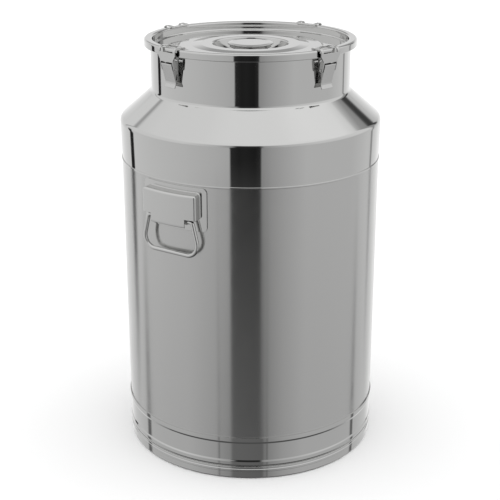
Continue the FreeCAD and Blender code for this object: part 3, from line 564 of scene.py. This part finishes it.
@dataclass
class CanShell:
    """The welded can: drum, drawn top, drawn bottom and foot ring. Sizes in mm."""

    wall: float = 1.2
    drum_r: float = 190.0
    lower_seam_z: float = 62.0
    upper_seam_z: float = 443.0
    # the drawn top: shoulder, neck and the hem of its lip
    knuckle_r: float = 191.2
    knuckle_z: float = 502.0
    knuckle_bend: float = 9.0
    neck_r: float = 144.7
    neck_foot_z: float = 542.3
    neck_bend: float = 7.0
    lip_r: float = 151.6
    lip_top_z: float = 608.6
    hem_bend: float = 0.39
    hem_drop: float = 0.8
    hem_width: float = 2.9
    # the bead over the upper seam
    seam_bead_r: float = 191.0
    seam_bead_z: tuple[float, float] = (441.7, 444.6)
    seam_bead_bend: float = 0.8
    seam_bead_sunk: float = 0.2
    # the drawn bottom: raised floor, trough round it, rib and lap
    floor_r: float = 142.0
    floor_z: float = 17.0
    floor_bend: float = 4.0
    trough_r: float = 150.0
    trough_z: float = 12.0
    trough_bend: float = 5.0
    seat_z: float = 19.5
    seat_bend: float = 0.8
    rib_r: float = 191.0
    rib_foot_z: tuple[float, float] = (21.0, 30.5)
    rib_top_z: tuple[float, float] = (23.2, 28.3)
    joggle_z: tuple[float, float] = (57.6, 60.6)
    lap_top_z: float = 66.9
    inward_bend: float = 1.4
    outward_bend: float = 2.0
    # the foot ring: its wall, its upper edge, the flange below and the hoop rolled into it
    foot_r: float = 189.8
    foot_wall: float = 2.0
    foot_bend: float = 2.5
    foot_inner_bend: float = 1.2
    foot_top_z: float = 19.0
    foot_top_bend: float = 0.6
    flange_r: float = 176.0
    hoop_r: float = 190.4
    hoop_foot_z: tuple[float, float] = (11.2, 15.6)
    hoop_top_z: tuple[float, float] = (11.8, 15.0)
    hoop_bend: float = 0.5

    def build(self) -> None:
        """Build and dress the four shells."""
        self.drum()
        self.top()
        self.bottom()
        self.foot()

    def drum(self) -> None:
        """The rolled drum."""
        inner = self.drum_r - self.wall
        section = Section.chain([
            Corner(inner, self.lower_seam_z), Corner(self.drum_r, self.lower_seam_z),
            Corner(self.drum_r, self.upper_seam_z), Corner(inner, self.upper_seam_z),
        ], closed=True)
        dress(turned("drum_sheet", section), Finish.SATIN, "can", "satin_steel", "drum_shell")

    def top(self) -> None:
        """The drawn top with its hemmed lip, and the bead over the upper seam."""
        under_lip = self.lip_top_z - self.wall
        hem_r = self.lip_r - self.wall
        section = Section.chain([
            Corner(self.drum_r, self.upper_seam_z),
            Corner(self.knuckle_r, self.knuckle_z, self.knuckle_bend),
            Corner(self.neck_r, self.neck_foot_z, self.neck_bend),
            Corner(self.neck_r, under_lip, self.hem_bend),
            Corner(hem_r, under_lip, self.hem_bend),
            Corner(hem_r, under_lip - self.hem_drop, self.hem_bend),
            Corner(hem_r - self.hem_width, under_lip - self.hem_drop),
        ], closed=False).sheet(self.wall)
        piece = turned("drawn_top", section)
        dress(piece, Finish.POLISHED, "can", "polished_steel", "shoulder_and_neck")
        low, high = self.seam_bead_z
        sunk = self.drum_r - self.seam_bead_sunk
        bead = Section.chain([
            Corner(sunk, low), Corner(self.seam_bead_r, low, self.seam_bead_bend),
            Corner(self.seam_bead_r, high, self.seam_bead_bend), Corner(sunk, high),
        ], closed=True)
        dress(turned("upper_seam_bead", bead), Finish.POLISHED, "can", "polished_steel")

    def bottom(self) -> None:
        """The drawn bottom: raised floor, rib and lap over the drum."""
        lap = self.drum_r + self.wall
        inset = self.foot_r - self.foot_wall
        inward, outward = self.inward_bend, self.outward_bend
        section = Section.chain([
            Corner(0, self.floor_z),
            Corner(self.floor_r, self.floor_z, self.floor_bend),
            Corner(self.trough_r, self.trough_z, self.floor_bend),
            Corner(inset, self.trough_z, self.trough_bend),
            Corner(inset, self.seat_z, self.seat_bend),
            Corner(self.drum_r, self.rib_foot_z[0], inward),
            Corner(self.rib_r, self.rib_top_z[0], outward),
            Corner(self.rib_r, self.rib_top_z[1], outward),
            Corner(self.drum_r, self.rib_foot_z[1], inward),
            Corner(self.drum_r, self.joggle_z[0], inward),
            Corner(lap, self.joggle_z[1], outward),
            Corner(lap, self.lap_top_z),
        ], closed=False).sheet(self.wall)
        piece = turned("drawn_bottom", section)
        dress(piece, Finish.POLISHED, "can", "polished_steel", "bottom_shell")

    def foot(self) -> None:
        """The foot ring with its rolled hoop and inward flange."""
        inner = self.foot_r - self.foot_wall
        section = Section.chain([
            Corner(self.flange_r, 0),
            Corner(self.foot_r, 0, self.foot_bend),
            Corner(self.foot_r, self.hoop_foot_z[0]),
            Corner(self.hoop_r, self.hoop_top_z[0], self.hoop_bend),
            Corner(self.hoop_r, self.hoop_top_z[1], self.hoop_bend),
            Corner(self.foot_r, self.hoop_foot_z[1]),
            Corner(self.foot_r, self.foot_top_z, self.foot_top_bend),
            Corner(inner, self.foot_top_z),
            Corner(inner, self.foot_wall, self.foot_inner_bend),
            Corner(self.flange_r, self.foot_wall),
        ], closed=True)
        dress(turned("foot_hoop", section), Finish.POLISHED, "can", "polished_steel", "foot_ring")


@dataclass
class Lid:
    """The pressed lid with its seal and knob. Sizes in mm."""

    wall: float = 1.0
    rim_r: float = 153.4
    rim_low_z: float = 605.7
    rim_top_z: float = 616.5
    rim_bend: float = 2.0
    # the rim's lower edge is rounded inwards by this much
    rim_edge: float = 0.3
    rim_edge_bend: float = 0.25
    # the well inside the rim, from its wall to the dish in its middle
    well_r: float = 141.4
    well_bend: float = 3.5
    gutter_r: float = 105.0
    gutter_z: float = 604.0
    gutter_bend: float = 3.0
    disc_r: float = 102.0
    disc_foot_r: float = 86.0
    disc_z: float = 605.7
    disc_bend: float = 2.0
    plateau_r: float = 72.0
    plateau_z: float = 607.0
    plateau_bend: float = 3.0
    dish_mouth_r: float = 55.7
    dish_mouth_bend: float = 1.5
    dish_r: float = 51.5
    dish_z: float = 586.0
    dish_bend: float = 5.0
    # the seal, with a groove below for the neck's lip
    seal_inner_r: float = 142.7
    seal_outer_r: float = 152.1
    seal_low_z: float = 609.0
    seal_low_bend: float = 0.8
    seal_top_bend: float = 2.2
    groove_r: float = 147.4
    groove_half: float = 2.0
    groove_rise: float = 0.9
    # the knob's cap: crowned top, brim and the skirt inside it
    knob_r: float = 33.0
    knob_top_z: float = 607.9
    knob_wall: float = 1.6
    crown_drop: float = 0.5
    crown_inset: float = 6.0
    crown_bend: float = 20.0
    # how far the brim's edge and its root hang below the cap's underside
    brim_drop: float = 0.6
    brim_root_drop: float = 0.9
    brim_bend: float = 0.7
    skirt_inner_r: float = 28.8
    skirt_outer_r: float = 30.4
    skirt_low_z: float = 602.0
    # bends at the skirt's root inside, at its lower edge and under the brim
    skirt_bends: tuple[float, float, float] = (1.0, 0.4, 0.6)
    # the knob's post and its welded foot
    post_r: float = 9.0
    post_bend: float = 1.5
    post_foot_r: float = 14.0
    post_foot_height: float = 1.6
    post_foot_bend: float = 1.0

    def build(self) -> None:
        """Build and dress the lid's pieces."""
        self.pan()
        self.seal()
        self.knob()

    def pan(self) -> None:
        """The pressed pan."""
        w = self.wall
        rim, well = self.rim_r - w, self.well_r + w
        section = Section.chain([
            Corner(0, self.dish_z - w),
            Corner(self.dish_r, self.dish_z - w, self.dish_bend),
            Corner(self.dish_mouth_r, self.plateau_z - w, self.dish_mouth_bend),
            Corner(self.plateau_r, self.plateau_z - w, self.plateau_bend),
            Corner(self.disc_foot_r, self.disc_z - w, self.disc_bend),
            Corner(self.disc_r, self.disc_z - w, self.disc_bend),
            Corner(self.gutter_r, self.gutter_z - w, self.gutter_bend),
            Corner(well, self.gutter_z - w, self.well_bend),
            Corner(well, self.rim_top_z - w, self.rim_bend),
            Corner(rim, self.rim_top_z - w, self.rim_bend),
            Corner(rim, self.rim_low_z + w, self.rim_edge_bend),
            Corner(rim - self.rim_edge, self.rim_low_z + w),
        ], closed=False).sheet(w)
        dress(turned("lid_pressing", section), Finish.POLISHED, "lid", "polished_steel", "lid_pan")

    def seal(self) -> None:
        """The silicone seal in the rim."""
        low, top = self.seal_low_z, self.rim_top_z - self.wall
        section = Section.chain([
            Corner(self.seal_inner_r, low, self.seal_low_bend),
            Corner(self.groove_r - self.groove_half, low),
            Corner(self.groove_r, low + self.groove_rise),
            Corner(self.groove_r + self.groove_half, low),
            Corner(self.seal_outer_r, low, self.seal_low_bend),
            Corner(self.seal_outer_r, top, self.seal_top_bend),
            Corner(self.seal_inner_r, top, self.seal_top_bend),
        ], closed=True)
        dress(turned("seal_ring", section), Finish.SEAL, "lid", "silicone", "lid_seal")

    def knob(self) -> None:
        """The knob's cap and its post."""
        under = self.knob_top_z - self.knob_wall
        root, edge, brim = self.skirt_bends
        cap = Section.chain([
            Corner(0, under),
            Corner(self.skirt_inner_r, under, root),
            Corner(self.skirt_inner_r, self.skirt_low_z),
            Corner(self.skirt_outer_r, self.skirt_low_z, edge),
            Corner(self.skirt_outer_r, under - self.brim_root_drop, brim),
            Corner(self.knob_r, under - self.brim_drop, self.brim_bend),
            Corner(self.knob_r, self.knob_top_z - self.crown_drop, self.brim_bend),
            Corner(self.knob_r - self.crown_inset, self.knob_top_z, self.crown_bend),
            Corner(0, self.knob_top_z),
        ], closed=True)
        dress(turned("knob_disc", cap), Finish.POLISHED, "lid", "polished_steel", "knob_cap")
        foot_z = self.dish_z + self.post_foot_height
        post = Section.chain([
            Corner(0, self.dish_z),
            Corner(self.post_foot_r, self.dish_z),
            Corner(self.post_foot_r, foot_z, self.post_foot_bend),
            Corner(self.post_r, foot_z, self.post_bend),
            Corner(self.post_r, under),
            Corner(0, under),
        ], closed=True)
        dress(turned("knob_stem", post), Finish.POLISHED, "lid", "polished_steel", "knob_post")


@dataclass
class Latches:
    """The four latches, which keep their CAD shapes."""

    places: tuple[str, ...] = ("front_left", "front_right", "back_right", "back_left")
    pieces: tuple[str, ...] = ("bracket", "pivot_pin", "lever", "hook_rivets", "hook")

    def build(self) -> None:
        """Finish each latch."""
        for place in self.places:
            for piece in self.pieces:
                repaint(f"latch_{place}_{piece}", Finish.PRESSED)


@dataclass
class Handles:
    """The two handles. The pressed covers are built anew with soft edges. Sizes in mm."""

    angles: tuple[tuple[str, float], ...] = (("front", -124.2), ("back", 55.8))
    wall: float = 1.2
    face_r: float = 205.0
    half_foot: float = 48.2
    top_z: float = 434.0
    shoulder_z: float = 397.0
    low_z: float = 385.0
    tongue_half: float = 29.0
    corner: float = 6.0
    least_corner: float = 0.5
    # the pressing's rounded flank: radius, and how far it lies inside the foot's outline
    flank: tuple[tuple[float, float], ...] = (
        (191.55, 0.0), (191.9, 0.45), (192.7, 0.85), (194.2, 1.1), (200.6, 1.9), (202.4, 2.2),
        (203.7, 2.7), (204.5, 3.5), (204.9, 4.6), (205.0, 5.9),
    )
    # the tongue's lower edge, turned in a little: height over the edge, and how far in
    hem: tuple[tuple[float, float], ...] = (
        (8.0, 0.0), (4.0, 0.0), (1.6, 0.0), (1.0, 0.1), (0.5, 0.4), (0.15, 0.9), (0.0, 1.5),
    )

    # steps up a side and round its corner, across the face beside the tongue, and across the tongue
    SIDE_STEPS: ClassVar[int] = 6
    WING_STEPS: ClassVar[int] = 5
    TONGUE_STEPS: ClassVar[int] = 16
    # an edge that bends more than this, in degrees, shows as a crisp one
    CRISP: ClassVar[float] = 50.0

    def build(self) -> None:
        """Build and finish each handle."""
        for place, angle in self.angles:
            for piece in ("plate", "saddles"):
                repaint(f"handle_{place}_{piece}", Finish.PRESSED)
            repaint(f"handle_{place}_bail", Finish.WIRE)
            cover = self.cover(f"{place}_handle_pressing", math.radians(angle))
            dress(cover, Finish.PRESSED, "can", "handle_steel", f"handle_{place}_cover")

    def edge(self, inset: float) -> list[tuple[float, float]]:
        """Right side and corner of the cover's outline, from its shoulder to its top edge.

        Args:
            inset: How far inside the foot's outline.

        Returns:
            Distances from the middle with their heights.
        """
        half, top = self.half_foot - inset, self.top_z - inset
        bend = max(self.corner - inset, self.least_corner)
        rise = top - bend - self.shoulder_z
        steps = self.SIDE_STEPS
        line = [(half, self.shoulder_z + rise * k / steps) for k in range(steps)]
        for k in range(steps + 1):
            turn = math.pi / 2 * k / steps
            line.append((half - bend + bend * math.cos(turn), top - bend + bend * math.sin(turn)))
        return line

    def tongue(self) -> list[float]:
        """Places across the tongue."""
        steps = self.TONGUE_STEPS
        return [self.tongue_half * (1 - 2 * k / steps) for k in range(steps + 1)]

    def columns(self, half: float) -> list[float]:
        """Places across one row of the face, with one at each side of the tongue.

        Args:
            half: Half the row's width.

        Returns:
            Distances from the middle, from right to left.
        """
        steps = self.WING_STEPS
        wing = [half - (half - self.tongue_half) * k / steps for k in range(steps)]
        return wing + self.tongue() + [-x for x in wing[::-1]]

    def point(self, mesh: bmesh.types.BMesh, angle: float, across: float, height: float,
              radius: float) -> bmesh.types.BMVert:
        """Add a point of a cover, wrapped round the can.

        Args:
            mesh: The cover's mesh.
            angle: Where the handle stands round the can, in radians.
            across: Distance from the handle's middle, along the face.
            height: Height over the floor.
            radius: Distance from the can's axis.

        Returns:
            The new point.
        """
        turn = angle + across / self.face_r
        return mesh.verts.new((
            radius * math.cos(turn) * MM, radius * math.sin(turn) * MM, height * MM,
        ))

    def cover(self, name: str, angle: float) -> bpy.types.Object:
        """One cover over the bail's pivots, open below, with a notch for each leg.

        Args:
            name: The new piece's name.
            angle: Where the handle stands round the can, in radians.

        Returns:
            The new piece.
        """
        mesh = bmesh.new()
        put = partial(self.point, mesh, angle)
        rings = []
        for radius, inset in self.flank[:-1]:
            right = self.edge(inset)
            half, top = right[-1]
            across = [(x, top) for x in self.columns(half)[1:-1]]
            line = right + across + [(-x, z) for x, z in right[::-1]]
            rings.append([put(x, z, radius) for x, z in line])
        radius, inset = self.flank[-1]
        rows = [[put(x, z, radius) for x in self.columns(half)] for half, z in self.edge(inset)]
        rings.append([r[0] for r in rows] + rows[-1][1:-1] + [r[-1] for r in rows[::-1]])
        hang = [rows[0][self.WING_STEPS:-self.WING_STEPS]]
        for rise, fall in self.hem:
            hang.append([put(x, self.low_z + rise, radius - fall) for x in self.tongue()])
        for band in (rings, rows, hang):
            for one, other in zip(band, band[1:]):
                for k in range(len(one) - 1):
                    mesh.faces.new((one[k], one[k + 1], other[k + 1], other[k])).smooth = True
        bmesh.ops.recalc_face_normals(mesh, faces=mesh.faces)
        middle = rows[self.SIDE_STEPS][self.WING_STEPS + self.TONGUE_STEPS // 2]
        outward = Vector((math.cos(angle), math.sin(angle), 0))
        if middle.link_faces[0].normal.dot(outward) < 0:
            bmesh.ops.reverse_faces(mesh, faces=mesh.faces)
        mesh.normal_update()
        bmesh.ops.solidify(mesh, geom=mesh.faces[:], thickness=self.wall * MM)
        for edge in mesh.edges:
            edge.smooth = edge.calc_face_angle(0) < math.radians(self.CRISP)
        return finished(name, mesh)


# ---------------------------------------------------------------- studio

@dataclass
class Studio:
    """The pale floor, the soft boxes round the can, the light and the camera."""

    # the camera's place in metres, its tilt in degrees from straight down, its sideways shift
    # as a share of the frame, and its lens in mm
    camera_at: tuple[float, float, float] = (0.0, -1.6691, 0.882)
    camera_pitch: float = 70.43
    camera_shift: float = -0.001
    lens: float = 82.9
    # the overhead light: its width in degrees and its strength
    light_width: float = 120.0
    light_strength: float = 1.6
    # the floor and the cloth far behind it, in mm
    floor_reach: float = 30000.0
    floor_z: float = -0.2
    cloth_r: float = 29000.0
    cloth_z: tuple[float, float] = (-100.0, 25000.0)
    room_steps: int = 64
    # brightness of the soft boxes, by the angle round the can from the camera, + to the right,
    # with a list for each band of heights: at the level, below it, over it and well over it
    level_boxes: list[tuple[float, float]] = field(default_factory=lambda: [
        (-180, 1.00), (-160, 0.95), (-142, 0.80), (-131.5, 0.74), (-131, 0.02), (-125, 0.02),
        (-124.3, 0.74), (-110, 0.72), (-60, 0.64), (-30, 0.57), (-17.6, 0.53), (-17.0, 0.03),
        (-10, 0.018), (-5.6, 0.02), (-5, 0.07), (-4.4, 0.02), (4, 0.015), (9.0, 0.03), (9.6, 0.34),
        (18, 0.42), (30, 0.50), (50, 0.61), (100, 0.61), (125, 0.70), (131, 0.68), (132, 0.38),
        (135, 0.34), (136, 0.72), (155, 0.95), (180, 1.0),
    ])
    low_boxes: list[tuple[float, float]] = field(default_factory=lambda: [
        (-180, 1.00), (-160, 0.90), (-142, 0.70), (-116.5, 0.60), (-114.5, 0.16), (-110.5, 0.16),
        (-109, 0.58), (-60, 0.54), (-40, 0.46), (-31, 0.42), (-30.6, 0.20), (-29.6, 0.20),
        (-29.2, 0.38), (-19, 0.31), (-16.5, 0.17), (11, 0.15), (12.5, 0.23), (15, 0.28),
        (15.4, 0.18), (16.4, 0.18), (16.8, 0.31), (30, 0.43), (50, 0.53), (100, 0.55),
        (109.5, 0.56), (110.5, 0.16), (114, 0.16), (115, 0.58), (142, 0.70), (155, 0.90),
        (180, 1.0),
    ])
    high_boxes: list[tuple[float, float]] = field(default_factory=lambda: [
        (-180, 0.80), (-150, 0.80), (-140, 0.84), (-139, 0.42), (-137, 0.42), (-136, 0.82),
        (-60, 0.80), (-30, 0.60), (-17.6, 0.40), (-12, 0.03), (8, 0.03), (12, 0.40), (30, 0.60),
        (60, 0.75), (110, 0.84), (129, 0.82), (131, 0.42), (139, 0.34), (141, 0.06), (146, 0.06),
        (148, 0.60), (156, 0.78), (180, 0.80),
    ])
    # how much the boxes behind the can dim a little over the level
    behind: list[tuple[float, float]] = field(default_factory=lambda: [
        (-180, 0.50), (-157, 0.50), (-150, 1.0), (150, 1.0), (157, 0.50), (180, 0.50),
    ])
    upper_boxes: list[tuple[float, float]] = field(default_factory=lambda: [
        (-180, 0.34), (-158, 0.38), (-150, 0.85), (-100, 0.88), (0, 0.92), (80, 0.96), (105, 1.0),
        (122, 0.98), (135, 0.84), (150, 0.82), (158, 0.38), (180, 0.34),
    ])
    # brightness straight above and straight below
    ceiling: float = 0.93
    ground: float = 0.10
    # degrees over the level between which each band takes over from the one below it
    fades: dict[str, tuple[float, float]] = field(default_factory=lambda: {
        "low": (-56, -40), "level": (-26, -17.5), "high": (-2, 8), "behind": (11, 17),
        "upper": (30, 42), "ceiling": (68, 80),
    })

    def build(self) -> None:
        """Build everything round the can."""
        self.world()
        self.floor()
        self.light()
        self.camera()

    def world(self) -> None:
        """The soft boxes and the dark gaps between them, as the steel mirrors them."""
        world = bpy.data.worlds.new("studio")
        bpy.context.scene.world = world
        world.use_nodes = True
        tree = world.node_tree
        tree.nodes.clear()
        place = add_node(tree, "ShaderNodeTexCoord")
        split = add_node(tree, "ShaderNodeSeparateXYZ", {}, {"Vector": place.outputs["Generated"]})
        front = add_node(tree, "ShaderNodeMath", {"operation": "MULTIPLY"}, {
            0: split.outputs["Y"], 1: -1.0,
        })
        around = add_node(tree, "ShaderNodeMath", {"operation": "ARCTAN2"}, {
            0: split.outputs["X"], 1: front.outputs["Value"],
        })
        turn = add_node(tree, "ShaderNodeMapRange", {}, {
            "Value": around.outputs["Value"], "From Min": -math.pi, "From Max": math.pi,
        })
        bands = {
            "low": self.low_boxes, "level": self.level_boxes, "high": self.high_boxes,
            "upper": self.upper_boxes, "behind": self.behind,
        }
        lit = {"ceiling": (self.ceiling, self.ceiling, self.ceiling, 1.0)}
        for band, boxes in bands.items():
            ramp = add_node(tree, "ShaderNodeValToRGB", {}, {"Fac": turn.outputs["Result"]})
            set_ramp(ramp, [((angle + 180) / 360, value) for angle, value in boxes])
            lit[band] = ramp.outputs["Color"]
        seen = (self.ground, self.ground, self.ground, 1.0)
        for band, fade in self.fades.items():
            above = lit[band]
            if band == "behind":
                dimmed = add_node(tree, "ShaderNodeMix", {
                    "data_type": "RGBA", "blend_type": "MULTIPLY",
                }, {SHARE: 1.0, COLOUR_A: seen, COLOUR_B: above})
                above = dimmed.outputs[BLENDED]
            seen = self.between(tree, split.outputs["Z"], fade, seen, above)
        glow = add_node(tree, "ShaderNodeBackground", {}, {"Color": seen, "Strength": 1.0})
        add_node(tree, "ShaderNodeOutputWorld", {}, {"Surface": glow.outputs["Background"]})

    @staticmethod
    def between(tree: bpy.types.NodeTree, height: bpy.types.NodeSocket,
                fade: tuple[float, float], below: object, above: object) -> bpy.types.NodeSocket:
        """Blend two colours by how high a direction points.

        Args:
            tree: The world's nodes.
            height: The direction's z.
            fade: Degrees over the level where the blend starts and ends.
            below: Colour or socket below it.
            above: Colour or socket above it.

        Returns:
            The blended colour.
        """
        share = add_node(tree, "ShaderNodeMapRange", {}, {
            "Value": height, "From Min": math.sin(math.radians(fade[0])),
            "From Max": math.sin(math.radians(fade[1])),
        })
        mix = add_node(tree, "ShaderNodeMix", {"data_type": "RGBA"}, {
            SHARE: share.outputs["Result"], COLOUR_A: below, COLOUR_B: above,
        })
        return mix.outputs[BLENDED]

    def floor(self) -> None:
        """The pale floor and the glowing cloth far behind it."""
        floor = turned("floor", Section([
            (Vector((0, self.floor_z)), True), (Vector((self.floor_reach, self.floor_z)), True),
        ]), around=self.room_steps, closed=False)
        floor.data.materials.append(Finish.FLOOR.made)
        floor.visible_glossy = False
        cloth = turned("backdrop", Section([
            (Vector((self.cloth_r, height)), True) for height in self.cloth_z
        ]), around=self.room_steps, closed=False)
        cloth.data.materials.append(Finish.BACKDROP.made)
        for flag in ("diffuse", "glossy", "transmission", "shadow"):
            setattr(cloth, f"visible_{flag}", False)

    def light(self) -> None:
        """One very wide soft light from above, which only lights the floor and what is dull."""
        lamp = bpy.data.lights.new("overhead", "SUN")
        lamp.angle = math.radians(self.light_width)
        lamp.energy = self.light_strength
        overhead = bpy.data.objects.new("overhead", lamp)
        overhead.visible_glossy = False
        bpy.context.scene.collection.objects.link(overhead)

    def camera(self) -> None:
        """The camera, a little above the lid and looking down at the can."""
        data = bpy.data.cameras.new("camera")
        data.lens = self.lens
        data.sensor_width = 36.0
        data.shift_x = self.camera_shift
        data.clip_end = 100.0
        camera = bpy.data.objects.new("camera", data)
        camera.location = self.camera_at
        camera.rotation_euler = (math.radians(self.camera_pitch), 0, 0)
        bpy.context.scene.collection.objects.link(camera)
        bpy.context.scene.camera = camera
        # plain colours, with no film curve
        bpy.context.scene.view_settings.view_transform = "Standard"


def main() -> None:
    """Build the can, then the studio."""
    logging.basicConfig(level=logging.INFO, format="%(name)s: %(message)s")
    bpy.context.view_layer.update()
    for assembly in (CanShell(), Lid(), Latches(), Handles(), Studio()):
        assembly.build()
        LOG.info("finished %s", type(assembly).__name__)


if __name__ == "__main__":
    main()
